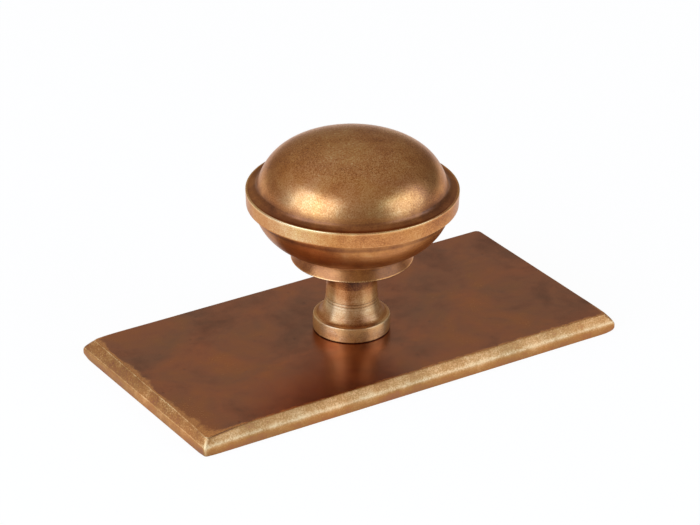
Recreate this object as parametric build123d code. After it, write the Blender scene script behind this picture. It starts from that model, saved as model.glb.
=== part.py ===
from build123d import *
import math
import os

# Turned brass cabinet knob standing on its own rectangular brass backplate.
# Origin: the middle of the plate's back face. +X along the plate, +Z away from the door. Millimetres.

# Backplate: a solid bar with rounded corners and a steep bevel all round its front.
plate_length = 76.0
plate_width = 38.0
plate_thickness = 3.0
bevel_run = 1.1
bevel_drop = 1.7
plate_edge_radius = 0.35
face_corner_radius = 0.12
plate_hole_radius = 2.25

# Foot collar, flared neck and finger ring. All knob heights are above the plate's front face.
collar_radius = 6.1
collar_height = 2.45
shoulder_run = 0.6
shoulder_rise = 0.15
neck_radius = 3.95
flare_height = 3.6
ring_underside = 12.4
ring_radius = 9.65
ring_thickness = 1.6
ring_taper = 0.75
ring_inset = 0.15
quirk_height = 0.9

# Bowl, rim band and domed face.
rim_underside = 21.7
rim_lower_radius = 16.5
rim_upper_radius = 16.6
rim_band = 2.55
rim_overhang = 1.05
lip_width = 0.4
cove_run = 1.35
cove_rise = 0.5
dome_height = 7.5

# Softened turned corners and two fine lines scribed round the flare of the neck.
corner_radius = 0.15
line_depth = 0.1
line_half_width = 0.12
line_places = (0.3, 0.42)

# Blind hole up the middle for an M4 screw: tapping drill, drill point, countersunk mouth.
thread_radius = 1.65
thread_depth = 12.0
countersink = 0.45
drill_point_angle = 118.0


def spot(radius, height):
    """A place on the turned outline, measured from the axis and from the foot."""
    return Vector(radius, height)


def plate_front_edges(block):
    """Every edge of the plate but those of its flat back."""
    return [edge for edge in block.edges() if (edge @ 0.5).Z > 0.001]


# The backplate: a bar with its corners rounded, wider than the bevel so that the bevel runs round
# them unbroken, then its front edges cut back to the bevel and all of them eased.
plate = Box(plate_length, plate_width, plate_thickness, align=(Align.CENTER, Align.CENTER, Align.MIN))
plate = fillet(plate.edges().filter_by(Axis.Z), bevel_run + face_corner_radius)
front = plate.faces().sort_by(Axis.Z)[-1]
plate = chamfer(front.edges(), bevel_run, bevel_drop, reference=front)
plate = fillet(plate_front_edges(plate), plate_edge_radius)
plate -= Cylinder(plate_hole_radius, plate_thickness, align=(Align.CENTER, Align.CENTER, Align.MIN))
plate.label = "backplate"

# The turned outline, from the foot up to the middle of the dome.
ring_top = ring_underside + ring_thickness
bowl_bottom = ring_top + quirk_height
bowl_top = rim_underside
bowl_height = bowl_top - bowl_bottom
ring_top_radius = ring_radius - ring_taper
quirk_radius = ring_top_radius - ring_inset
bowl_radius = rim_lower_radius - rim_overhang
bowl_reach = bowl_radius - quirk_radius
rim_top = rim_underside + rim_band
cove_outer = rim_upper_radius - lip_width
dome_radius = cove_outer - cove_run
dome_foot = rim_top + cove_rise
dome_top = dome_foot + dome_height
shoulder_radius = collar_radius - shoulder_run
shoulder_height = collar_height + shoulder_rise
flare_top = collar_height + flare_height

foot = Polyline(
    spot(0, 0),
    spot(collar_radius, 0),
    spot(collar_radius, collar_height),
    spot(shoulder_radius, shoulder_height),
)
flare = Bezier(
    spot(shoulder_radius, shoulder_height),
    spot(neck_radius + 0.25 * (shoulder_radius - neck_radius), shoulder_height + 0.12 * flare_height),
    spot(neck_radius, flare_top - 0.45 * flare_height),
    spot(neck_radius, flare_top),
)
neck_and_ring = Polyline(
    spot(neck_radius, flare_top),
    spot(neck_radius, ring_underside),
    spot(ring_radius, ring_underside),
    spot(ring_top_radius, ring_top),
    spot(quirk_radius, ring_top),
    spot(quirk_radius, bowl_bottom),
)
bowl = Bezier(
    spot(quirk_radius, bowl_bottom),
    spot(quirk_radius + 0.48 * bowl_reach, bowl_bottom + 0.07 * bowl_height),
    spot(bowl_radius - 0.08 * bowl_reach, bowl_top - 0.56 * bowl_height),
    spot(bowl_radius, bowl_top),
)
rim = Polyline(
    spot(bowl_radius, bowl_top),
    spot(rim_lower_radius, rim_underside),
    spot(rim_upper_radius, rim_top),
    spot(cove_outer, rim_top),
)
cove = Bezier(
    spot(cove_outer, rim_top),
    spot(cove_outer - 0.45 * cove_run, rim_top),
    spot(dome_radius + 0.15 * cove_run, rim_top + 0.1 * cove_rise),
    spot(dome_radius, dome_foot),
)
dome = Bezier(
    spot(dome_radius, dome_foot),
    spot(0.933 * dome_radius, dome_foot + 0.365 * dome_height),
    spot(0.815 * dome_radius, dome_top),
    spot(0, dome_top),
)
axis_line = Line(spot(0, dome_top), spot(0, 0))
outline = make_face([foot, flare, neck_and_ring, bowl, rim, cove, dome, axis_line])

# Ease the crisp corners a lathe tool leaves: collar, finger ring and rim.
crisp = [
    spot(collar_radius, 0),
    spot(collar_radius, collar_height),
    spot(ring_radius, ring_underside),
    spot(rim_lower_radius, rim_underside),
    spot(rim_upper_radius, rim_top),
]
corners = [v for v in outline.vertices() if any((Vector(v) - c).length < 0.001 for c in crisp)]
outline = fillet(corners, corner_radius)
knob = revolve(Plane.XZ * outline, Axis.Z)

# The scribed lines are shallow V cuts at two places along the flare.
for place in line_places:
    on_flare = flare @ (1 - place)
    cut = make_face(
        Polyline(
            spot(on_flare.X - line_depth, on_flare.Y),
            spot(on_flare.X + 4 * line_depth, on_flare.Y + 5 * line_half_width),
            spot(on_flare.X + 4 * line_depth, on_flare.Y - 5 * line_half_width),
            close=True,
        )
    )
    knob -= revolve(Plane.XZ * cut, Axis.Z)

# The screw hole, drilled from the foot.
point_height = thread_radius / math.tan(math.radians(drill_point_angle / 2))
drill = make_face(
    Polyline(
        spot(0, 0),
        spot(thread_radius + countersink, 0),
        spot(thread_radius, countersink),
        spot(thread_radius, thread_depth),
        spot(0, thread_depth + point_height),
        close=True,
    )
)
knob -= revolve(Plane.XZ * drill, Axis.Z)
knob = Pos(0, 0, plate_thickness) * knob
knob.label = "knob"

os.makedirs("parts", exist_ok=True)
for name, solid in (("backplate", plate), ("knob", knob)):
    export_step(solid, f"parts/{name}.step")
    box = solid.bounding_box().size
    print(name, round(box.X, 3), round(box.Y, 3), round(box.Z, 3), "volume", round(solid.volume, 1))
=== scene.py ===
# %% [markdown]
# # A turned brass cabinet knob on its backplate
# This lesson dresses two solids of an aged brass cabinet fitting for a picture: a backplate with
# a filed bevel, and a turned knob with a flared neck, a bowl, a rim and a domed face. The solids
# come in as a fixed frame, so every piece made here goes exactly where the frame says.
# All lengths are metres. The plate's back lies on z = 0, and its long side runs along x.

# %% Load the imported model
import math
import bpy
import numpy as np
from mathutils import Matrix, Vector, noise


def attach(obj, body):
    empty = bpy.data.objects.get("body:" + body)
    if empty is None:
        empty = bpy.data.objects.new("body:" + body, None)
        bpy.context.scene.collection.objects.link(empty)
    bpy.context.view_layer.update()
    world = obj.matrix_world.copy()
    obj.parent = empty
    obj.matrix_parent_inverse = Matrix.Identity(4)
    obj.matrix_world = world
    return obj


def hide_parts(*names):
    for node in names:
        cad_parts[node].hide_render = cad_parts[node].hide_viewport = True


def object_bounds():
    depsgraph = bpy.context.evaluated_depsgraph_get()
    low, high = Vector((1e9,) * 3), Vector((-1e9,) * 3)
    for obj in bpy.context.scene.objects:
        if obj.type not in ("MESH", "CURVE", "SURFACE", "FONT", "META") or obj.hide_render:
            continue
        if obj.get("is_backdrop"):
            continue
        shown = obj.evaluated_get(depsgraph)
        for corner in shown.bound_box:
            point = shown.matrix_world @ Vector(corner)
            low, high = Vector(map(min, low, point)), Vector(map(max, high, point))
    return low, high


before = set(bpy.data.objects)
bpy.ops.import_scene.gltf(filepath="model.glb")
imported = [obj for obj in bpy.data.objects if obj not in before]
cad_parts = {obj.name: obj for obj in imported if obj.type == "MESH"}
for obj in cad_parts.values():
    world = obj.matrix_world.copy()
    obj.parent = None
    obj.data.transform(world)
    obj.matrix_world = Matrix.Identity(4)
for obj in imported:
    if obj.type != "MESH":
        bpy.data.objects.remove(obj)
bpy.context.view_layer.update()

# %% [markdown]
# ## The camera
# A product picture is usually taken from well back with a long lens, so that the near and the
# far edge of the plate run almost parallel. The camera is described the way a photographer would
# say it: how far round, how high, how far away, and what it points at. A small roll is added
# last, because a camera on a real tripod is seldom quite level.

# %% Place the camera
aim = Vector((0.00283, 0.00492, 0.01134))
azimuth, elevation, roll = math.radians(-33.0), math.radians(26.54), math.radians(0.44)
camera_distance = 0.48873
back = Vector((
    math.sin(azimuth) * math.cos(elevation),
    -math.cos(azimuth) * math.cos(elevation),
    math.sin(elevation),
))
camera_data = bpy.data.cameras.new("camera")
camera_data.sensor_fit = "HORIZONTAL"
camera_data.sensor_width = 36
camera_data.lens = 158.57
camera_data.clip_start, camera_data.clip_end = 0.01, 20
camera = bpy.data.objects.new("camera", camera_data)
bpy.context.scene.collection.objects.link(camera)
turn = (-back).to_track_quat("-Z", "Y").to_matrix() @ Matrix.Rotation(roll, 3, "Z")
camera.matrix_world = Matrix.Translation(aim + back * camera_distance) @ turn.to_4x4()
bpy.context.scene.camera = camera
bpy.context.scene.view_settings.view_transform = "Standard"
print("camera at", [round(1000 * c, 1) for c in camera.location], "mm")

# %% [markdown]
# ## Small tools for node trees
# A material is a graph of nodes. Writing each link by hand hides the idea behind the wiring, so
# one helper adds a node, sets it up and connects its inputs in a single line. An input is given
# either a value or another node's output.

# %% Node helpers
def add(tree, kind, inputs=None, **settings):
    """A new node with its settings made and its inputs set or linked."""
    made = tree.nodes.new(kind)
    for name, value in settings.items():
        setattr(made, name, value)
    for key, value in (inputs or {}).items():
        if isinstance(value, bpy.types.NodeSocket):
            tree.links.new(value, made.inputs[key])
        else:
            made.inputs[key].default_value = value
    return made


def maths(tree, operation, *values, clamp=False):
    """One sum on values or sockets. Gives the output socket."""
    made = add(tree, "ShaderNodeMath", dict(enumerate(values)), operation=operation, use_clamp=clamp)
    return made.outputs[0]


def swing(tree, mask, amount, middle, clamp=False):
    """A mask from 0 to 1 turned into a value that swings round the middle by the amount."""
    return maths(tree, "MULTIPLY_ADD", maths(tree, "SUBTRACT", mask, 0.5), amount, middle, clamp=clamp)


def mix(tree, share, first, second, blend="MIX"):
    """The first colour with a share of the second. A colour is given as three numbers or a socket."""
    first, second = (c if isinstance(c, bpy.types.NodeSocket) else (*c, 1) for c in (first, second))
    made = add(tree, "ShaderNodeMix", {0: share, 6: first, 7: second}, data_type="RGBA", blend_type=blend)
    return made.outputs[2]


def effect(name, inputs, outputs):
    """An empty node group with named inputs and outputs, ready to be filled."""
    tree = bpy.data.node_groups.new(name, "ShaderNodeTree")
    for socket, kind, value in inputs:
        made = tree.interface.new_socket(socket, in_out="INPUT", socket_type=kind)
        if value is not None:
            made.default_value = value
    for socket in outputs:
        tree.interface.new_socket(socket, in_out="OUTPUT", socket_type="NodeSocketFloat")
    return tree, add(tree, "NodeGroupInput").outputs, add(tree, "NodeGroupOutput")


def use(tree, group, inputs):
    """One use of a node group in a material, with this material's own values."""
    return add(tree, "ShaderNodeGroup", inputs, node_tree=group).outputs


# %% [markdown]
# ## Effect: clouds in the patina
# Brass is aged by dipping it in a darkening bath and then rubbing it back, so the brown lies in
# soft clouds some millimetres across. Painted clouds would need an image, while layered noise
# gives them at any size and on any side. The group takes their size in metres and how sharply
# light and dark part, so plate and knob can share it.

# %% Build the cloud effect
VECTOR, FLOAT = "NodeSocketVector", "NodeSocketFloat"

cloud_effect, given, result = effect(
    "patina clouds",
    [("Vector", VECTOR, None), ("Size", FLOAT, 0.005), ("Contrast", FLOAT, 2.0), ("Swirl", FLOAT, 0.4)],
    ["Clouds", "Streaks"],
)
density = maths(cloud_effect, "DIVIDE", 1.0, given["Size"])
cloud = add(
    cloud_effect, "ShaderNodeTexNoise",
    {"Vector": given["Vector"], "Scale": density, "Detail": 6.0, "Roughness": 0.58,
     "Distortion": given["Swirl"]},
)
wiped = add(
    cloud_effect, "ShaderNodeMapping",
    {"Vector": given["Vector"], "Rotation": (0.4, 0.2, 0.9), "Scale": (0.75, 1.0, 1.0),
     "Location": (0.031, 0.017, 0.0)},
)
streak = add(
    cloud_effect, "ShaderNodeTexNoise",
    {"Vector": wiped.outputs[0], "Scale": maths(cloud_effect, "MULTIPLY", density, 0.9), "Detail": 4.0,
     "Roughness": 0.55, "Distortion": 0.6},
)
for name, layer in (("Clouds", cloud), ("Streaks", streak)):
    soft = swing(cloud_effect, layer.outputs[0], given["Contrast"], 0.5, clamp=True)
    cloud_effect.links.new(soft, result.inputs[name])
print("effect", cloud_effect.name, "has", len(cloud_effect.nodes), "nodes")

# %% [markdown]
# ## Effect: grain and pits
# Seen close, the rubbed metal is peppered with light and dark flecks a fifth of a millimetre or
# so across, and here and there sits a pit. The flecks are fine noise with its contrast raised. The
# pits are the middles of scattered cells. Both also leave a height, so that the light catches
# the flecks as it does on the real surface.

# %% Build the grain effect
grain_contrast, pit_steepness, pit_reach, pit_depth = 2.4, -11.0, 1.4, 2.0

grain_effect, given, result = effect(
    "metal grain",
    [("Vector", VECTOR, None), ("Size", FLOAT, 0.00025), ("Pit Spacing", FLOAT, 0.002),
     ("Pit Share", FLOAT, 0.3)],
    ["Grain", "Pits", "Height"],
)
fleck = add(
    grain_effect, "ShaderNodeTexNoise",
    {"Vector": given["Vector"], "Scale": maths(grain_effect, "DIVIDE", 1.0, given["Size"]), "Detail": 2.5,
     "Roughness": 0.7},
)
grain = swing(grain_effect, fleck.outputs[0], grain_contrast, 0.5, clamp=True)
cells = add(
    grain_effect, "ShaderNodeTexVoronoi",
    {"Vector": given["Vector"], "Scale": maths(grain_effect, "DIVIDE", 1.0, given["Pit Spacing"])},
)
near = maths(grain_effect, "MULTIPLY_ADD", cells.outputs["Distance"], pit_steepness, pit_reach, clamp=True)
lot = add(grain_effect, "ShaderNodeSeparateColor", {0: cells.outputs["Color"]}).outputs[0]
chosen = maths(grain_effect, "LESS_THAN", lot, given["Pit Share"])
pits = maths(grain_effect, "MULTIPLY", near, chosen)
height = maths(grain_effect, "SUBTRACT", grain, maths(grain_effect, "MULTIPLY", pits, pit_depth))
for name, socket in (("Grain", grain), ("Pits", pits), ("Height", height)):
    grain_effect.links.new(socket, result.inputs[name])
print("effect", grain_effect.name, "has", len(grain_effect.nodes), "nodes")

# %% [markdown]
# ## Effect: worn arrises
# Hands and cloths rub the patina off every outside corner first. The meshes below carry a number
# on each point that says how near it is to such an arris. The group breaks that even band up with
# noise, so the bright metal shows through in a ragged line and not as a painted stripe.

# %% Build the wear effect
wear_effect, given, result = effect(
    "worn arrises",
    [("Vector", VECTOR, None), ("Arris", FLOAT, 0.0), ("Break Size", FLOAT, 0.001),
     ("Raggedness", FLOAT, 0.5)],
    ["Worn"],
)
ragged = add(
    wear_effect, "ShaderNodeTexNoise",
    {"Vector": given["Vector"], "Scale": maths(wear_effect, "DIVIDE", 1.0, given["Break Size"]),
     "Detail": 4.0, "Roughness": 0.6},
)
shift = swing(wear_effect, ragged.outputs[0], maths(wear_effect, "MULTIPLY", given["Raggedness"], 2.0), 0.0)
broken = add(
    wear_effect, "ShaderNodeMapRange",
    {"Value": maths(wear_effect, "ADD", given["Arris"], shift), "From Min": 0.3, "From Max": 0.8},
    interpolation_type="SMOOTHSTEP",
).outputs[0]
inside_band = maths(wear_effect, "MULTIPLY", given["Arris"], 3.0, clamp=True)
wear_effect.links.new(maths(wear_effect, "MULTIPLY", broken, inside_band), result.inputs["Worn"])
print("effect", wear_effect.name, "has", len(wear_effect.nodes), "nodes")

# %% [markdown]
# ## Effect: turning marks
# A lathe tool and the cloth that follows it leave rings round the axis, fine and uneven. Noise
# that is read by distance from the axis and by height, and hardly at all by the angle, gives
# such rings on every face of a turned piece, flat or upright.

# %% Build the turning effect
turning_effect, given, result = effect(
    "turning marks", [("Vector", VECTOR, None), ("Spacing", FLOAT, 0.0002)], ["Marks"]
)
place = add(turning_effect, "ShaderNodeSeparateXYZ", {0: given["Vector"]}).outputs
squares = [maths(turning_effect, "MULTIPLY", place[axis], place[axis]) for axis in (0, 1)]
across = maths(turning_effect, "SQRT", maths(turning_effect, "ADD", *squares))
drift = maths(turning_effect, "MULTIPLY", maths(turning_effect, "ABSOLUTE", place[0]), 0.03)
unrolled = add(turning_effect, "ShaderNodeCombineXYZ", {0: across, 1: place[2], 2: drift})
rings = add(
    turning_effect, "ShaderNodeTexNoise",
    {"Vector": unrolled.outputs[0], "Scale": maths(turning_effect, "DIVIDE", 1.0, given["Spacing"]),
     "Detail": 2.0, "Roughness": 0.6},
)
turning_effect.links.new(
    swing(turning_effect, rings.outputs[0], 2.0, 0.5, clamp=True), result.inputs["Marks"]
)
print("effect", turning_effect.name, "has", len(turning_effect.nodes), "nodes")

# %% [markdown]
# ## Finish: aged brass
# Both pieces are one metal in different states of wear, so one recipe makes both finishes. A
# single number, the rub, says how far the brown has been taken off at a point: the zone's own
# level, plus clouds, flecks and turning marks, plus the worn arrises, less the pits and the painted
# shade and grime in corners. A colour ramp turns the rub into the metal's colour, and the same number
# drives how sharp its reflections are. That keeps colour, gloss and relief in step, as on real brass.
#
# The meshes say what they need through seven marks, numbers that are kept on every point: how far
# the zone is rubbed back, which in places also carries painted highlight and painted shade, how near
# an arris is, how much painted shade and grime lies there, how matt, how gritty and how brushed the
# metal is, and how far bare metal spills over an edge.

# %% Name the marks and what they weigh
FINISH_MARKS = ("rubbed", "arris", "shade_and_grime", "matt", "spill", "grit", "brushed")
patch_size, patch_amount, matt_patch_amount, cloud_contrast = 0.0022, 0.09, 0.19, 2.4
# The mark of painted shade and grime: how much it lowers the rub, and the near-black it mixes in.
shade_and_grime_weight, pit_weight = -0.3, -0.11
shade_and_grime_colour, shade_and_grime_share = (0.03, 0.012, 0.006), 0.5
bare_from_grain, bare_everywhere = 0.9, 0.30
gloss_grain, gloss_matt = 0.08, 0.25
turning_spacing, turning_relief, matt_turning, matt_calm = 0.00022, 3.0, 3.0, -0.4
quarter_turn, wax_roughness = 0.25, 0.3


# %% Sum up the rub
def rub_of(tree, marks, clouds, patches, flecks, worn, turning, turning_amount, amounts):
    """How far the brown is taken off: the zone's level, with everything that adds to it or takes away."""
    patchy = maths(tree, "MULTIPLY_ADD", marks["matt"], matt_patch_amount, patch_amount)
    rub = swing(tree, clouds["Clouds"], amounts["clouds"], marks["rubbed"])
    rub = swing(tree, clouds["Streaks"], amounts["streaks"], rub)
    rub = swing(tree, flecks["Grain"], marks["grit"], rub)
    rub = swing(tree, patches, patchy, rub)
    rub = swing(tree, turning, turning_amount, rub)
    rub = maths(tree, "MULTIPLY_ADD", worn, amounts["worn"], rub)
    # Painted shade and grime lower the rub.
    rub = maths(tree, "MULTIPLY_ADD", marks["shade_and_grime"], shade_and_grime_weight, rub)
    return maths(tree, "MULTIPLY_ADD", flecks["Pits"], pit_weight, rub, clamp=True)


# %% The aged brass recipe
def aged_brass(name, ramp, cool_tint, warm_tint, bare_tint, edge_tint, amounts, cloud_size, grain_size,
               pit_spacing, pit_share, roughness, relief, wax):
    """A material from the effects above. Roughness is (brown, bright); relief is a height in metres."""
    made = bpy.data.materials.new(name)
    made.use_nodes = True
    tree = made.node_tree
    shader = tree.nodes["Principled BSDF"]
    spot = add(tree, "ShaderNodeTexCoord").outputs["Object"]
    marks = {
        label: add(tree, "ShaderNodeAttribute", attribute_name=label).outputs["Fac"]
        for label in FINISH_MARKS
    }
    clouds = use(
        tree, cloud_effect, {"Vector": spot, "Size": cloud_size, "Contrast": cloud_contrast, "Swirl": 0.5}
    )
    patches = use(
        tree, cloud_effect, {"Vector": spot, "Size": patch_size, "Contrast": cloud_contrast, "Swirl": 0.3}
    )["Clouds"]
    flecks = use(
        tree, grain_effect,
        {"Vector": spot, "Size": grain_size, "Pit Spacing": pit_spacing, "Pit Share": pit_share},
    )
    worn, spilt = (
        use(
            tree, wear_effect,
            {"Vector": spot, "Arris": marks[label], "Break Size": break_size, "Raggedness": raggedness},
        )["Worn"]
        for label, break_size, raggedness in (("arris", 0.0012, 0.2), ("spill", 0.0016, 0.8))
    )
    turning = use(tree, turning_effect, {"Vector": spot, "Spacing": turning_spacing})["Marks"]
    turning_amount = maths(
        tree, "MULTIPLY", maths(tree, "MULTIPLY_ADD", marks["matt"], matt_turning, 1.0), amounts["turning"]
    )
    rub = rub_of(tree, marks, clouds, patches, flecks, worn, turning, turning_amount, amounts)

    # Colour: the ramp, tinted in streaks, with bare metal where it spills, and the painted shade and grime
    # over all.
    colours = add(tree, "ShaderNodeValToRGB", {0: rub})
    stops = colours.color_ramp.elements
    while len(stops) < len(ramp):
        stops.new(0.5)
    for stop, (level, colour) in zip(stops, ramp):
        stop.position = level
        stop.color = (*colour, 1)
    calm = maths(tree, "MULTIPLY_ADD", marks["matt"], matt_calm, 1.0)
    tint = mix(tree, swing(tree, clouds["Streaks"], calm, 0.5), cool_tint, warm_tint)
    tinted = mix(tree, 1.0, colours.outputs[0], tint, blend="MULTIPLY")
    bare = maths(tree, "MULTIPLY_ADD", flecks["Grain"], bare_from_grain, bare_everywhere)
    bared = mix(tree, maths(tree, "MULTIPLY", spilt, bare, clamp=True), tinted, bare_tint)
    shaded_and_soiled = mix(tree, maths(tree, "MULTIPLY", marks["shade_and_grime"], shade_and_grime_share, clamp=True), bared, shade_and_grime_colour)
    tree.links.new(shaded_and_soiled, shader.inputs["Base Color"])
    shader.inputs["Metallic"].default_value = 1.0

    # Gloss: sharper or softer with the rub, with a broken sheen from the grain.
    gloss = add(
        tree, "ShaderNodeMapRange",
        {"Value": rub, "From Min": 0.1, "From Max": 0.9, "To Min": roughness[0], "To Max": roughness[1]},
    ).outputs[0]
    gloss = swing(tree, flecks["Grain"], gloss_grain, gloss)
    gloss = maths(tree, "MULTIPLY_ADD", marks["matt"], gloss_matt, gloss)
    tree.links.new(gloss, shader.inputs["Roughness"])

    # Brushing runs round the axis, and a thin wax lies over the metal.
    tree.links.new(marks["brushed"], shader.inputs["Anisotropic"])
    round_axis = add(tree, "ShaderNodeTangent", direction_type="RADIAL", axis="Z")
    tree.links.new(round_axis.outputs[0], shader.inputs["Tangent"])
    shader.inputs["Anisotropic Rotation"].default_value = quarter_turn
    shader.inputs["Coat Weight"].default_value = wax
    shader.inputs["Coat Roughness"].default_value = wax_roughness
    shader.inputs["Specular Tint"].default_value = (*edge_tint, 1)
    turning_height = maths(tree, "MULTIPLY", turning_amount, turning_relief)
    high = maths(tree, "MULTIPLY_ADD", turning, turning_height, flecks["Height"])
    bump = add(tree, "ShaderNodeBump", {"Height": high, "Strength": 1.0, "Distance": relief})
    tree.links.new(bump.outputs[0], shader.inputs["Normal"])
    print("finish", name, "has", len(tree.nodes), "nodes")
    return made


# %% [markdown]
# The knob has been polished back much further than the plate. Its ramp runs from the brown left
# in the hollows to the pale gold of the rim's edge. The plate keeps a redder brown, and only its
# filed bevel comes near to gold.

# %% Mix the two finishes
knob_ramp = [
    (0.00, (0.100, 0.028, 0.006)),
    (0.25, (0.315, 0.105, 0.024)),
    (0.50, (0.580, 0.240, 0.064)),
    (0.75, (0.745, 0.440, 0.180)),
    (1.00, (0.920, 0.700, 0.380)),
]
plate_ramp = [
    (0.00, (0.260, 0.100, 0.050)),
    (0.20, (0.430, 0.177, 0.090)),
    (0.36, (0.470, 0.200, 0.076)),
    (0.52, (0.520, 0.250, 0.076)),
    (0.72, (0.705, 0.402, 0.162)),
    (1.00, (0.950, 0.690, 0.365)),
]
knob_brass = aged_brass(
    "knob brass", knob_ramp, cool_tint=(0.99, 0.94, 1.12), warm_tint=(1.03, 1.02, 0.86),
    bare_tint=(0.97, 0.565, 0.215), edge_tint=(0.76, 0.56, 0.42),
    amounts={"clouds": 0.28, "streaks": 0.12, "turning": 0.05, "worn": 0.42},
    cloud_size=0.006, grain_size=0.00019, pit_spacing=0.0014, pit_share=0.3,
    roughness=(0.36, 0.24), relief=0.000007, wax=0.5,
)
plate_brass = aged_brass(
    "plate brass", plate_ramp, cool_tint=(0.82, 0.93, 1.04), warm_tint=(1.16, 0.99, 0.90),
    bare_tint=(0.92, 0.45, 0.165), edge_tint=(1.0, 1.0, 1.0),
    amounts={"clouds": 0.24, "streaks": 0.14, "turning": 0.0, "worn": 0.40},
    cloud_size=0.0085, grain_size=0.00025, pit_spacing=0.0028, pit_share=0.5,
    roughness=(0.205, 0.33), relief=0.000009, wax=0.0,
)

# %% [markdown]
# ## Closed surfaces from rings of points
# Both pieces are skins over a stack of rings: circles for the knob, rounded rectangles for the
# plate. Laying the rings out in code gives even strips along every edge, exact control of each
# softened arris, and a place to keep the marks that the finishes read at each point.

# %% Skin helpers
MM = 0.001
smooth_up_to = math.radians(38)


class Skin:
    """The points and faces of one piece, in millimetres, with the finish marks of each point."""

    def __init__(self):
        self.points, self.faces = [], []
        self.marks = {label: [] for label in FINISH_MARKS}

    def point(self, x, y, z, **marks):
        """Add a point. A mark that isn't given is nought. Gives the point's number."""
        self.points.append((x, y, z))
        for label, numbers in self.marks.items():
            numbers.append(marks.get(label, 0.0))
        return len(self.points) - 1

    def join(self, low, high, count):
        """Faces between two rings of so many points, each ring given by its first point."""
        for j in range(count):
            k = (j + 1) % count
            self.faces.append((low + j, low + k, high + k, high + j))


def dress(name, skin, material):
    """An object from a skin, with a finish and a place on the frame."""
    mesh = bpy.data.meshes.new(name)
    mesh.from_pydata([(x * MM, y * MM, z * MM) for x, y, z in skin.points], [], skin.faces)
    for label, numbers in skin.marks.items():
        mesh.attributes.new(label, "FLOAT", "POINT").data.foreach_set("value", numbers)
    mesh.polygons.foreach_set("use_smooth", [True] * len(mesh.polygons))
    mesh.set_sharp_from_angle(angle=smooth_up_to)
    mesh.materials.append(material)
    mesh.validate()
    made = bpy.data.objects.new(name, mesh)
    bpy.context.scene.collection.objects.link(made)
    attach(made, "root")
    print(name, "has", len(mesh.polygons), "faces")
    return made


def hump(distance, width):
    """1 at a distance of nought, falling away smoothly over the width."""
    return math.exp(-((distance / width) ** 2))


def between(value, low, high, blend=0.3):
    """1 from low to high, with soft ends."""
    rise, fall = (value - low) / blend + 0.5, (high - value) / blend + 0.5
    return min(1.0, max(0.0, rise)) * min(1.0, max(0.0, fall))


def waver(along, size, seed):
    """A slow unevenness between -1 and 1, as a hand-held file leaves."""
    return noise.noise(Vector((along / size, seed, 0.3 * seed)))


# %% [markdown]
# ## The knob's outline
# The knob is turned in one from bar. Its outline is followed from the foot to the middle of the
# dome: collar, flare, neck, finger ring, bowl, rim, cove and dome. Straight runs meet in eased
# corners, and the flare, the bowl, the cove and the dome are cubic curves, because no single
# radius gives their fullness. Beside each point the outline keeps how far its zone has been
# rubbed back. It also remembers where its arrises and its hollows are: wear goes on the
# arrises, and painted shade goes into the hollows and under the overhangs.

# %% Tools for an outline
outline, arris_places, shade_places = [], [], []


def run(start, end, steps, rubbed):
    """A straight run, without its end point."""
    for i in range(steps):
        t = i / steps
        outline.append((start[0] + t * (end[0] - start[0]), start[1] + t * (end[1] - start[1]), rubbed))


def curve(p0, p1, p2, p3, steps, rubbed_from, rubbed_to):
    """A cubic curve, without its end point."""
    for i in range(steps):
        t = i / steps
        s = 1 - t
        weights = (s * s * s, 3 * s * s * t, 3 * s * t * t, t * t * t)
        r, z = (sum(w * p[k] for w, p in zip(weights, (p0, p1, p2, p3))) for k in (0, 1))
        outline.append((r, z, rubbed_from + t * (rubbed_to - rubbed_from)))


def eased(before, corner, after, radius, rubbed, wear=1.0, steps=5):
    """The arc that eases a corner, and how brightly it has worn."""
    a = (Vector(before) - Vector(corner)).normalized()
    b = (Vector(after) - Vector(corner)).normalized()
    half = a.angle(b) / 2
    reach = radius / math.tan(half)
    centre = Vector(corner) + (a + b).normalized() * radius / math.sin(half)
    first, last = Vector(corner) + a * reach, Vector(corner) + b * reach
    for i in range(steps + 1):
        spoke = (first - centre).lerp(last - centre, i / steps).normalized() * radius
        outline.append((centre.x + spoke.x, centre.y + spoke.y, rubbed))
    arris_places.append((len(outline) - 1 - (steps + 1) // 2, wear))


def hollow(width=0.22, amount=1.0, steps_back=1):
    """Painted shade round the last point or one some steps back: how far it spreads and how much it is."""
    shade_places.append((len(outline) - steps_back, width, amount))


# %% Walk up the outline
# Foot and collar.
outline += [(2.7, 0.0, 0.1), (4.4, 0.0, 0.1)]
eased((4.4, 0.0), (6.08, 0.0), (6.12, 1.2), 0.12, 0.10, wear=0.0)
outline.append((6.085, 0.16, 0.45))
curve((6.09, 0.24), (6.12, 0.9), (6.13, 1.6), (6.06, 2.30), 12, 0.82, 0.86)
eased((6.09, 2.0), (6.05, 2.45), (5.5, 2.6), 0.16, 0.90, wear=0.7)
run((5.86, 2.502), (5.5, 2.6), 4, 0.70)

# Flared neck, then straight up to the finger ring.
curve((5.5, 2.6), (4.42, 2.94), (4.06, 4.8), (3.97, 8.2), 84, 0.46, 0.62)
# Up the neck the rub falls almost to nought under the finger ring: partly painted shade, partly brown
# patina.
curve((3.97, 8.2), (3.95, 9.5), (3.95, 10.9), (3.95, 12.2), 14, 0.48, 0.06)
curve((3.95, 12.2), (3.95, 12.34), (4.01, 12.4), (4.15, 12.4), 5, 0.1, 0.1)
# Painted shade in the corner under the finger ring.
hollow()

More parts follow.
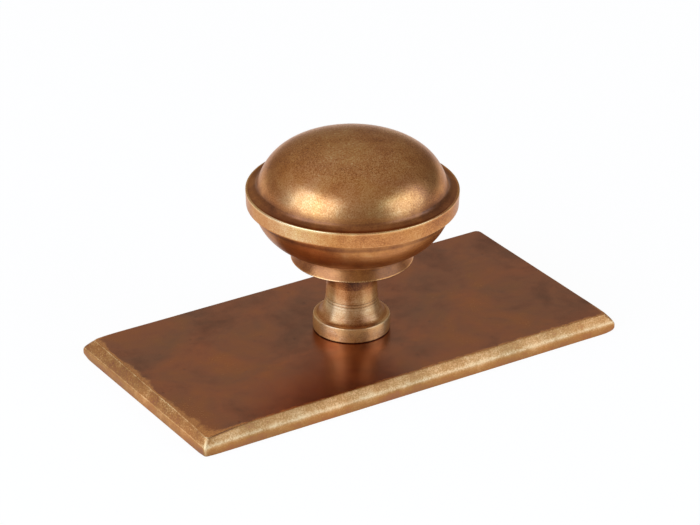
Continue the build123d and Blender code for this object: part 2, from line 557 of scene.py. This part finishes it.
# Finger ring. Its top rolls over into the hollow under the bowl.
run((4.15, 12.4), (9.4, 12.4), 14, 0.25)
eased((4.15, 12.4), (9.65, 12.4), (8.9, 14.0), 0.13, 0.55, wear=0.8)
run((9.60, 12.52), (9.53, 12.66), 2, 0.70)
run((9.52, 12.69), (9.00, 13.80), 8, 0.38)
curve((9.00, 13.80), (8.91, 14.00), (8.82, 14.20), (8.79, 14.42), 8, 0.37, 0.24)
outline += [(8.78, 14.56, 0.22), (8.78, 14.72, 0.20)]
# Painted shade in the groove under the bowl.
hollow(0.18, 0.7)

# Bowl, with a band of painted shade a third of the way up it and painted shadow under the rim.
curve((8.80, 14.79), (12.05, 15.30), (14.946, 17.892), (15.45, 21.66), 56, 0.43, 0.41)
hollow(0.9, 0.35, steps_back=38)
hollow(0.35, 0.55, steps_back=5)
outline += [(15.45, 21.69, 0.2), (15.48, 21.7, 0.1)]
# More painted shadow right under the rim's overhang.
hollow(0.6, 0.7)

# Rim and lip.
run((15.6, 21.7), (16.2, 21.7), 4, 0.2)
eased((15.48, 21.7), (16.5, 21.7), (16.6, 24.25), 0.10, 0.50, wear=0.0)
run((16.512, 22.02), (16.592, 24.05), 8, 0.50)
eased((16.5, 21.7), (16.6, 24.25), (16.2, 24.25), 0.16, 0.62, wear=0.3)
rim_row = len(outline) - 4
outline += [(16.3, 24.25, 0.50), (16.22, 24.24, 0.42)]

# Cove behind the lip, then the dome to its middle.
curve((16.17, 24.21), (15.55, 24.22), (15.03, 24.42), (14.76, 25.00), 26, 0.31, 0.36)
# Painted shade in the cove.
hollow(0.7, 0.25)
cove_row = len(outline) - 1
curve((14.755, 25.03), (13.84, 27.54), (12.103, 32.25), (0.0, 32.25), 76, 0.44, 0.44)
outline.append((0.05, 32.25, 0.44))
print("outline has", len(outline), "points,", len(arris_places), "arrises,", len(shade_places), "hollows")

# %% [markdown]
# The flare carries two scribed lines, a fainter third, and round them the rings that the tool
# left. They are cut into the outline itself, so they show in the mesh and not only in the finish.
# Each cut is given by its height up the knob, its depth and its width.

# %% Scribe the flare
scribed_lines = [(4.78, 0.030, 0.07), (5.20, 0.060, 0.10), (5.66, 0.055, 0.09)]
tool_rings = [
    (3.55, 0.012, 0.05), (3.82, 0.014, 0.05), (4.10, 0.014, 0.05), (4.36, 0.016, 0.05),
    (4.60, 0.014, 0.05), (5.00, 0.014, 0.05), (5.44, 0.012, 0.05), (5.98, 0.014, 0.05),
    (6.30, 0.010, 0.05),
]
flare_radius = 5.4


def cut_depth(r, z):
    """How deep the lines on the flare go at this radius and height."""
    if r >= flare_radius:
        return 0.0
    cuts = scribed_lines + tool_rings
    return sum(depth * max(0.0, 1 - abs(z - at) / (1.6 * width)) for at, depth, width in cuts)


deepest = max(cut_depth(r, z) for r, z, _ in outline)
outline = [(r - cut_depth(r, z), z, rubbed) for r, z, rubbed in outline]
lengths = [0.0]
for (r0, z0, _), (r1, z1, _) in zip(outline, outline[1:]):
    lengths.append(lengths[-1] + math.hypot(r1 - r0, z1 - z0))
print("deepest line", deepest, "mm; outline is", round(lengths[-1], 1), "mm long")

# %% [markdown]
# ## Where the knob is worn
# Each zone of the knob has its own wear. The dome is rubbed by the palm and gritty, the collar is
# bright but matt, the neck is brushed and goes dark at the top, where painted shade under the finger
# ring lies over the brown that no cloth reaches, and bare gold shows on the collar and low on the
# flare. A zone is a range of heights and of radii. Some sides of a zone are also made lighter or
# darker, given by a compass angle: partly uneven rubbing, partly painted highlight and painted shade
# where the lamps and the room fall on those sides.

# %% Name the knob's zones
EVER = 99.0
# Lowest and highest height, how softly the zone ends, and its smallest and largest radius.
knob_zones = {
    "collar": (0.1, 2.5, 0.2, 5.9, EVER),
    "neck": (2.6, 12.3, 0.4, 0.0, 5.9),
    "ring": (12.4, 14.1, 0.1, 8.8, EVER),
    "bowl": (14.8, 21.6, 0.1, 8.8, EVER),
    "rim": (21.9, 24.3, 0.1, 16.3, EVER),
    "dome": (25.4, EVER, 1.2, 0.0, EVER),
    "top": (30.2, EVER, 1.6, 0.0, EVER),
}
# Zone, compass angle, how wide the patch is in degrees, and how much lighter or darker it is made: uneven
# rubbing, with painted highlight and painted shade.
uneven_wear_and_light = [
    ("ring", -78, 28, -0.20), ("ring", -165, 30, -0.12), ("ring", -122, 14, 0.08),
    ("rim", -60, 30, -0.10), ("rim", -118, 18, -0.10), ("rim", -156, 20, 0.38),
    ("collar", -88, 25, -0.14), ("collar", -123, 12, -0.10),
    ("dome", -36, 28, -0.14), ("dome", 150, 22, -0.08),
]


def zone_shares(r, z):
    """How far a point of the outline lies in each zone, from 0 to 1."""
    return {
        name: between(z, low, high, blend) if inner < r < outer else 0.0
        for name, (low, high, blend, inner, outer) in knob_zones.items()
    }


def side_wear_and_light(on, angle):
    """How much lighter or darker this side of the knob is made, from its shares of the zones: uneven
    rubbing with painted highlight and painted shade.
    """
    change = 0.0
    for name, centre, width, amount in uneven_wear_and_light:
        if on[name]:
            away = (math.degrees(angle) - centre + 180) % 360 - 180
            change += amount * on[name] * hump(away, width)
    return change


# %% Give the marks of one row
def row_marks(row, on):
    """The finish marks that are the same all round one row of the outline."""
    r, z, level = outline[row]
    along = lengths[row]
    rim_edge = hump(along - lengths[rim_row], 0.26)
    cove = hump(along - lengths[cove_row], 0.8)
    # The waist is rubbed bright low on the flare. Higher up it darkens as painted shade under the finger
    # ring.
    waist_and_shade = 0.36 * hump(z - 4.7, 1.35) - 0.28 * between(z, 8.4, EVER, 2.2)
    gritty = 0.18 + 0.26 * on["dome"] + 0.40 * on["top"] + 0.20 * (on["rim"] + on["neck"] + on["collar"])
    # Painted shade spreads round each of the shade places, and the cut lines on the flare get grime.
    hollows = max(amount * hump(along - lengths[i], width) for i, width, amount in shade_places)
    return {
        "rubbed": level + 0.13 * on["dome"] + 0.22 * rim_edge + on["neck"] * waist_and_shade,
        "arris": max(wear * hump(along - lengths[i], 0.14) for i, wear in arris_places),
        "shade_and_grime": max(hollows, 13.0 * cut_depth(r, z)),
        "matt": 0.4 * on["bowl"] + 0.7 * on["neck"] + 0.3 * cove + 0.9 * on["collar"],
        "spill": 0.58 * on["collar"] + 0.30 * on["neck"] * hump(z - 4.4, 1.2),
        "grit": gritty * (1 - 0.8 * rim_edge),
        "brushed": 0.85 * on["neck"] + 0.75 * on["collar"] + 0.5 * on["ring"],
    }


# %% [markdown]
# ## The knob's skin
# Turning the outline about the axis gives the rings. A turned piece is round, but its wear isn't
# quite even, so slow noise round the axis shifts the rub and the arrises a little.

# %% Turn the outline
knob_foot, around = 3.0, 224
noise_turn, noise_rise = 1.5, 0.15
out_of_round, uneven_rub = 0.0002, 0.05
angles = np.arange(around) * 2 * math.pi / around
skin = Skin()
for row, (r, z, _) in enumerate(outline):
    on = zone_shares(r, z)
    base = row_marks(row, on)
    for angle in angles:
        round_axis = Vector((noise_turn * math.cos(angle), noise_turn * math.sin(angle), noise_rise * z))
        uneven = noise.noise(round_axis)
        radius = r * (1 + out_of_round * uneven)
        marks = dict(base)
        # Slow noise makes the rub uneven, and the side table adds painted highlight and painted shade.
        marks["rubbed"] += uneven_rub * uneven + side_wear_and_light(on, angle)
        marks["arris"] *= 0.85 + 0.3 * noise.noise(2.0 * round_axis)
        skin.point(radius * math.cos(angle), radius * math.sin(angle), z + knob_foot, **marks)
for row in range(len(outline) - 1):
    skin.join(row * around, (row + 1) * around, around)
pole = skin.point(0.0, 0.0, outline[-1][1] + knob_foot, rubbed=outline[-1][2], grit=0.7)
last = (len(outline) - 1) * around
skin.faces += [(last + j, last + (j + 1) % around, pole) for j in range(around)]
print("outside of the knob:", len(skin.points), "points")

# %% [markdown]
# ## The threaded hole
# Under the foot the knob's rings meet the mouth of the screw hole, whose wall is a real M4 thread:
# its radius depends on height and angle together, so the groove climbs 0.7 mm a turn. The hole has
# fewer points round it, and flat faces under the foot join four of the knob's strips to one of the
# hole's.

# %% Cut the threaded hole
thread_pitch, thread_root, thread_depth, hole_radius = 0.7, 2.0, 10.6, 1.65
thread_start, rows_a_turn, threaded_length = 0.46, 12, 11.5
hole_around = around // 4
hole_marks = {"rubbed": 0.55, "shade_and_grime": 0.2, "matt": 0.2, "grit": 0.1}
hole_rows = [(2.1, 0.0), (1.66, 0.44)]
hole_rows += [
    (hole_radius, thread_start + i * thread_pitch / rows_a_turn)
    for i in range(int(threaded_length / thread_pitch * rows_a_turn))
]
hole_rows += [(hole_radius, 12.0), (0.8, 12.5), (0.05, 12.97)]


def thread_radius(height, turn_share):
    """The wall of the hole: a 60 degree groove that climbs one pitch a turn and fades out at its end."""
    phase = (height / thread_pitch - turn_share) % 1.0
    groove = min(1.0, max(0.0, (0.5 - abs(phase - 0.5) - 0.125) / 0.3125))
    fade_out, fade_in = (thread_depth - height) / thread_pitch, (height - thread_start) / 0.25
    fade = min(1.0, max(0.0, fade_out), max(0.0, fade_in))
    return hole_radius + (thread_root - hole_radius) * groove * fade


first_hole = len(skin.points)
for radius, height in hole_rows:
    for j in range(hole_around):
        angle = 2 * math.pi * j / hole_around
        wall = thread_radius(height, j / hole_around) if radius == hole_radius else radius
        skin.point(wall * math.cos(angle), wall * math.sin(angle), height + knob_foot, **hole_marks)
for i in range(len(hole_rows) - 1):
    low, high = first_hole + i * hole_around, first_hole + (i + 1) * hole_around
    for j in range(hole_around):
        k = (j + 1) % hole_around
        skin.faces.append((low + k, low + j, high + j, high + k))
tip = skin.point(0.0, 0.0, 12.99 + knob_foot, **hole_marks)
last = first_hole + (len(hole_rows) - 1) * hole_around
skin.faces += [(last + (j + 1) % hole_around, last + j, tip) for j in range(hole_around)]
for j in range(hole_around):
    outer = [(4 * j + n) % around for n in range(5)]
    skin.faces.append((first_hole + j, first_hole + (j + 1) % hole_around, *reversed(outer)))
knob = dress("turned_knob", skin, knob_brass)
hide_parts("knob")

# %% [markdown]
# ## The backplate
# The plate is sawn from bar, and its front edges are filed back to a bevel that runs all round.
# Its rings go up the outside wall, over the bevel, across the face to the screw hole, down its
# wall and back across the rear. The edge's section is drawn as a path that tilts over step by
# step, so wall, soft ridge, slightly full bevel and upper arris run into each other.

# %% Lay out the plate's rings
half_length, half_width, thickness, hole = 38.0, 19.0, 3.0, 2.25
corner_radii = (0.45, 0.55, 0.45, 0.40)
corner_growth, corner_full_at, corner_loss, least_corner = 0.55, 0.8, 0.5, 0.25
corner_steps, long_steps, short_steps = 8, 120, 60
corner_signs = ((1, -1), (1, 1), (-1, 1), (-1, -1))


def rectangle(inset):
    """Points round a rectangle with its own radius at each corner, counter-clockwise."""
    growth = corner_growth * min(inset, corner_full_at) - corner_loss * max(0.0, inset - corner_full_at)
    rounds = [max(least_corner, radius + growth) for radius in corner_radii]
    centres = [
        (sx * (half_length - inset - r), sy * (half_width - inset - r))
        for (sx, sy), r in zip(corner_signs, rounds)
    ]
    made = []
    for quarter in range(4):
        for i in range(corner_steps + 1):
            turn = math.radians(90 * (quarter - 1 + i / corner_steps))
            x, y = centres[quarter]
            made.append((x + rounds[quarter] * math.cos(turn), y + rounds[quarter] * math.sin(turn)))
        (x0, y0), (x1, y1) = made[-1], centres[(quarter + 1) % 4]
        x1 += rounds[(quarter + 1) % 4] * math.cos(turn)
        y1 += rounds[(quarter + 1) % 4] * math.sin(turn)
        steps = short_steps if quarter % 2 == 0 else long_steps
        made += [(x0 + (x1 - x0) * i / steps, y0 + (y1 - y0) * i / steps) for i in range(1, steps)]
    return made


# Each roll tilts from one angle to another over a length: soft ridge, full bevel, upper arris.
rolls = ((0, 27, 0.66, 8), (27, 41, 1.58, 9), (41, 90, 0.16, 6))
section = [(0.0, 0.0)]
for tilt_from, tilt_to, length, steps in rolls:
    for i in range(steps):
        tilt = math.radians(tilt_from + (tilt_to - tilt_from) * (i + 0.5) / steps)
        inset, height = section[-1]
        section.append((inset + length / steps * math.sin(tilt), height + length / steps * math.cos(tilt)))
wall = thickness - section[-1][1]
wall_points = [(0.0, 0.0), (0.0, 0.25), (0.0, 0.55)]
section = wall_points + [(inset, height + wall) for inset, height in section]
ridge_at, top_start = section[len(wall_points) + rolls[0][3] // 2 + 2], section[-1][0]
face_depths = (0.05, 0.12, 0.22, 0.35, 0.5, 0.7, 0.95, 1.3, 1.8, 2.5)
section += [(top_start + depth, thickness) for depth in face_depths]
print("edge section has", len(section), "points; face starts", round(top_start, 2), "mm in")

# %% [markdown]
# ## The plate is shaped by hand
# A file never keeps quite to its line, so the upper arris wavers a little, and the bevel on the
# left end narrows towards the front corner. Corners get the most blows: the front left one dips
# furthest, and the lower corners are rounded off. Every ring is moved by the same rules, so the
# skin stays closed.

# %% Shape the plate by hand
# Which corner (-1 is left or front, 1 is right or far), how much, and how wide.
dipped_corners = [(-1, -1, 0.42, 2.8), (-1, 1, 0.22, 2.6), (1, -1, 0.12, 2.6)]
lower_corners = [(1, -1, 0.30, 1.3), (-1, 1, 0.26, 1.3), (-1, -1, 0.14, 1.2)]
lower_height, end_reach = 0.6, 3.5


def filed(x, y):
    """How far the filing has moved the bevel's upper arris here, in millimetres along x and along y."""
    left, right = hump(x + half_length, end_reach), hump(half_length - x, end_reach)
    front, far = hump(y + half_width, end_reach), hump(half_width - y, end_reach)
    move_x = left * (0.42 * y / half_width + 0.05 * waver(y, 7.0, 11.0) + 0.04 * waver(y, 1.9, 13.0))
    move_x += right * (-0.16 + 0.06 * waver(y, 7.0, 17.0))
    move_y = front * (-0.50 * hump(x + half_length, 4.5) - 0.2 * hump(half_length - x, 4.0))
    move_y += front * (0.05 * waver(x, 9.0, 19.0) + 0.03 * waver(x, 1.9, 21.0))
    move_y += far * (-0.16 + 0.05 * waver(x, 9.0, 23.0))
    return move_x, move_y


def at_corners(x, y, corners):
    """The sum of what these corners do at a point."""
    return sum(
        amount * hump(math.hypot(x - sx * half_length, y - sy * half_width), width)
        for sx, sy, amount, width in corners
    )


def shaped(x, y, inset, height):
    """Where the point of an even plate goes on the hand-shaped one."""
    share, upper = min(1.0, inset / top_start), min(1.0, height / thickness)
    move_x, move_y = filed(x, y)
    to_ridge = math.hypot(inset - ridge_at[0], height - ridge_at[1])
    lift = 0.035 * hump(to_ridge, 0.6) * waver(x + 1.7 * y, 4.0, 31.0)
    lift -= at_corners(x, y, dipped_corners) * upper ** 2
    under = at_corners(x, y, lower_corners) * max(0.0, 1 - height / lower_height) ** 2
    return (x + share * move_x - math.copysign(under, x), y + share * move_y - math.copysign(under, y),
            height + lift)


# %% [markdown]
# ## Where the plate is worn
# The face keeps its brown. The bevel was filed bright after the bath, most of all along the front,
# and a painted highlight lies on the front ridge and the front left corner. Gold spills over the
# upper arris on to the face in a ragged band, widest at that same corner, where the bevel ends in a
# leaf shape edged by a line of painted shade. The foot of the wall is painted darker, as shade.

# %% Give the plate's marks
edge_reach, face_rub, wall_rub, bevel_rub = 2.5, 0.20, 0.52, 0.46


def bevel_marks(x, y, inset, height):
    """The finish marks on the wall and the bevel, up to the upper arris."""
    at_front = hump(y + half_width, edge_reach)
    at_left, at_right = hump(x + half_length, edge_reach), hump(half_length - x, edge_reach)
    front_left = math.hypot(x + half_length, y + half_width)
    to_ridge = math.hypot(inset - ridge_at[0], height - ridge_at[1])
    to_crest = math.hypot(inset - ridge_at[0] - 0.16, height - ridge_at[1] - 0.12)
    to_top = math.hypot(inset - top_start + 0.16, height - thickness + 0.10)
    on_face, on_bevel = inset > top_start, height > ridge_at[1]

    brighter = 0.15 * max(at_front, 1 - at_left)
    dimmer = 0.07 * at_left * (1 - at_front) * hump(front_left, 14.0)
    level = face_rub if on_face else (bevel_rub + brighter - dimmer if on_bevel else wall_rub)
    on_corner = hump((half_length - abs(x)) - (half_width - abs(y)), 0.40) * hump(front_left, 2.4)
    # A painted highlight along the crest of the front ridge and on the front left corner.
    painted_highlight = 0.32 * at_front * hump(to_crest, 0.38) + (0.0 if on_face else 0.46 * on_corner)

    leaf = hump(x + half_length - 3.5, 3.0)
    pale_top = (1.0 * at_left + 0.45 * at_front * (1 - leaf) + 0.5 * at_right) * hump(to_top, 0.10)
    pale_ridge = 0.60 * at_left * hump(to_ridge, 0.15)
    # Painted shade low on the wall, where it meets the floor.
    foot_shade = max(0.0, 1 - height / 1.3) * (0.44 * at_front + 0.40 * at_left)
    # Painted shade in a thin crease along the top of the leaf.
    leaf_crease_shade = 1.6 * at_front * leaf * hump(to_top, 0.13)
    grit = 0.08 if on_face else (0.50 + 0.06 * at_left if on_bevel else 0.28)
    return {"rubbed": level + painted_highlight, "arris": max(pale_ridge, pale_top), "shade_and_grime": max(foot_shade, leaf_crease_shade),
            "matt": 0.0 if on_face else 1.0, "grit": grit}


def gold_spill(x, y, inset):
    """How far gold spills over the upper arris on to the face."""
    if inset <= top_start - 0.04:
        return 0.0
    beyond = max(0.0, inset - top_start)
    front_left = math.hypot(x + half_length, y + half_width)
    width = 0.72 + 1.3 * waver(x + 2.3 * y, 7.0, 41.0) + 2.0 * hump(front_left, 5.5)
    on_left = 0.82 * hump(x + half_length - 1.4, 3.0)
    on_front = 0.78 * hump(y + half_width - 1.4, 3.4) * max(0.0, 1 - on_left)
    return on_left * hump(beyond, max(0.25, width)) + on_front * hump(beyond, 0.50)


# %% Raise the plate's edge
skin = Skin()
for inset, height in section:
    for x, y in rectangle(inset):
        marks = bevel_marks(x, y, inset, height)
        skin.point(*shaped(x, y, inset, height), spill=gold_spill(x, y, inset), **marks)
count = len(skin.points) // len(section)
print("edge rings", len(section), "with", count, "points each")

# %% [markdown]
# The face is crossed in rings that turn slowly from the plate's rectangle into the circle of the
# screw hole. The same rings, run the other way, close the back. Round the knob the face is
# painted a little darker, as painted shade round the knob's foot.

# %% Cross the face to the hole, and close the back
face_edge = [(x, y) for x, y, _ in skin.points[-count:]]
back_edge = [(x, y) for x, y, _ in skin.points[:count]]
face_shares = (0.08, 0.18, 0.3, 0.42, 0.54, 0.66, 0.78, 0.88, 0.95, 1.0)
rings = [(face_edge, share, thickness) for share in face_shares]
rings += [(face_edge, 1.0, height) for height in (2.2, 1.0, 0.0)]
rings += [(back_edge, share, 0.0) for share in (0.95, 0.8, 0.6, 0.4, 0.2, 0.05)]
for rim, centre_share, height in rings:
    for x, y in rim:
        away = math.hypot(x, y)
        at_x = x + centre_share * (x / away * hole - x)
        at_y = y + centre_share * (y / away * hole - y)
        shade_round_knob = 0.08 * hump(math.hypot(at_x, at_y), 11.0)
        skin.point(at_x, at_y, height, rubbed=face_rub - shade_round_knob, grit=0.07)
ring_count = len(section) + len(rings)
for i in range(ring_count):
    skin.join(i * count, (i + 1) % ring_count * count, count)
plate = dress("bevelled_backplate", skin, plate_brass)
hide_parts("backplate")

# %% [markdown]
# ## The studio floor
# Polished metal shows what stands round it. The floor is a wide white disc just under the plate.
# Seen by the camera or in a reflection most of it simply glows white, and the rest stays a real
# matt surface, so the object keeps a soft shadow without any extra light falling on it. White is
# 1: the glow gives 0.94 of it, and the lit paper brings the floor to just under white.

# %% Lay the floor
floor_radii, floor_spokes, floor_height = (0.02, 0.1, 0.4, 1.2, 3.0), 96, -0.00002
glow_share, glow_strength = 0.90, 1.04
floor_points = [(0.0, 0.0, floor_height)]
for radius in floor_radii:
    for j in range(floor_spokes):
        angle = 2 * math.pi * j / floor_spokes
        floor_points.append((radius * math.cos(angle), radius * math.sin(angle), floor_height))
floor_faces = []
for j in range(floor_spokes):
    k = (j + 1) % floor_spokes
    floor_faces.append((0, 1 + j, 1 + k))
    for i in range(len(floor_radii) - 1):
        low, high = 1 + i * floor_spokes, 1 + (i + 1) * floor_spokes
        floor_faces.append((low + j, high + j, high + k, low + k))
floor_mesh = bpy.data.meshes.new("studio_sweep")
floor_mesh.from_pydata(floor_points, [], floor_faces)
floor_mesh.polygons.foreach_set("use_smooth", [True] * len(floor_mesh.polygons))
floor = bpy.data.objects.new("studio_sweep", floor_mesh)
bpy.context.scene.collection.objects.link(floor)
floor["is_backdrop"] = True

paper = bpy.data.materials.new("white paper")
paper.use_nodes = True
paper.node_tree.nodes.clear()
tree = paper.node_tree
ray = add(tree, "ShaderNodeLightPath").outputs
mirrored = maths(tree, "MAXIMUM", ray["Is Glossy Ray"], ray["Is Transmission Ray"])
seen = maths(tree, "MAXIMUM", ray["Is Camera Ray"], mirrored)
matt_face = add(tree, "ShaderNodeBsdfDiffuse", {"Color": (0.86, 0.86, 0.86, 1)})
glow = add(tree, "ShaderNodeEmission", {"Color": (1, 1, 1, 1), "Strength": glow_strength})
share = maths(tree, "MULTIPLY", seen, glow_share)
blend = add(tree, "ShaderNodeMixShader", {0: share, 1: matt_face.outputs[0], 2: glow.outputs[0]})
add(tree, "ShaderNodeOutputMaterial", {0: blend.outputs[0]})
floor_mesh.materials.append(paper)
print("floor has", len(floor_mesh.polygons), "faces")

# %% [markdown]
# ## The softboxes
# Two large softboxes, one to the left and one to the right of the camera, make the two glowing
# patches on the dome. Their light is a little cool, which keeps the highlights from going orange.

# %% Hang the softboxes
lamp_colour = (0.74, 1.01, 1.42)


def softbox(name, azimuth, elevation, distance, width, height, glow_level):
    """A rectangular lamp that faces the object. Its power follows from how bright its face should look."""
    data = bpy.data.lights.new(name, "AREA")
    data.shape = "RECTANGLE"
    data.size, data.size_y = width, height
    data.energy = glow_level * math.pi * width * height
    data.color = lamp_colour
    lamp = bpy.data.objects.new(name, data)
    a, e = math.radians(azimuth), math.radians(elevation)
    towards = Vector((math.sin(a) * math.cos(e), -math.cos(a) * math.cos(e), math.sin(e)))
    lamp.rotation_mode = "QUATERNION"
    lamp.location = Vector((0, 0, 0.02)) + towards * distance
    lamp.rotation_quaternion = towards.to_track_quat("Z", "Y")
    lamp.visible_camera = False
    bpy.context.scene.collection.objects.link(lamp)
    print(name, "gives", round(data.energy, 2), "W")


softbox("left softbox", -84, 29.5, 0.85, 0.80, 0.64, 2.5)
softbox("right softbox", 42, 24, 0.85, 0.74, 0.48, 2.2)

# %% [markdown]
# ## The dim room
# The room between the lamps makes the brown valley on the dome and the even brown of the plate.
# It is lighter overhead than at the horizon, a little lighter on the wall behind the object, and
# darker towards the right, all in the world's Strength, so the light keeps one warm colour.

# %% Light the room
room_colour = (1.11, 1.0, 0.88)
horizon_level, overhead_level, wall_level, rightward_fall = 0.20, 0.42, 0.03, -0.42
wall_fades_from, wall_full_from = 0.82, 0.98

world = bpy.data.worlds.new("dim room")
world.use_nodes = True
bpy.context.scene.world = world
tree = world.node_tree
direction = add(tree, "ShaderNodeTexCoord").outputs["Generated"]


def along(tree, way):
    """How far the direction of view points along this way."""
    dot = add(tree, "ShaderNodeVectorMath", {0: direction, 1: way}, operation="DOT_PRODUCT")
    return dot.outputs["Value"]


towards_wall = Vector((-math.sin(azimuth), math.cos(azimuth), 0.0)) * 0.9 + Vector((0.0, 0.0, 0.44))
towards_right = Vector((math.cos(azimuth), math.sin(azimuth), 0.0))
upwards = add(tree, "ShaderNodeSeparateXYZ", {0: direction}).outputs[2]
room = add(
    tree, "ShaderNodeMapRange",
    {"Value": upwards, "From Min": 0.0, "From Max": 0.9, "To Min": horizon_level, "To Max": overhead_level},
)
wall_glow = add(
    tree, "ShaderNodeMapRange",
    {"Value": along(tree, towards_wall), "From Min": wall_fades_from, "From Max": wall_full_from,
     "To Min": 0.0, "To Max": wall_level},
    interpolation_type="SMOOTHSTEP",
)
both = maths(tree, "ADD", room.outputs[0], wall_glow.outputs[0])
fall = maths(tree, "MULTIPLY_ADD", along(tree, towards_right), rightward_fall, 1.0)
shader = tree.nodes["Background"]
shader.inputs["Color"].default_value = (*room_colour, 1)
tree.links.new(maths(tree, "MULTIPLY", both, fall), shader.inputs["Strength"])
print("room goes from", horizon_level, "at the horizon to", overhead_level, "overhead")

# %% [markdown]
# ## Sizes
# The dressed pieces must keep to the box of the solids they stand for. The box of the
# dressed pieces is printed.

# %% Print the size of the dressed pieces
low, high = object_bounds()
print("box of the dressed pieces in mm", [round(1000 * (h - l), 2) for l, h in zip(low, high)])
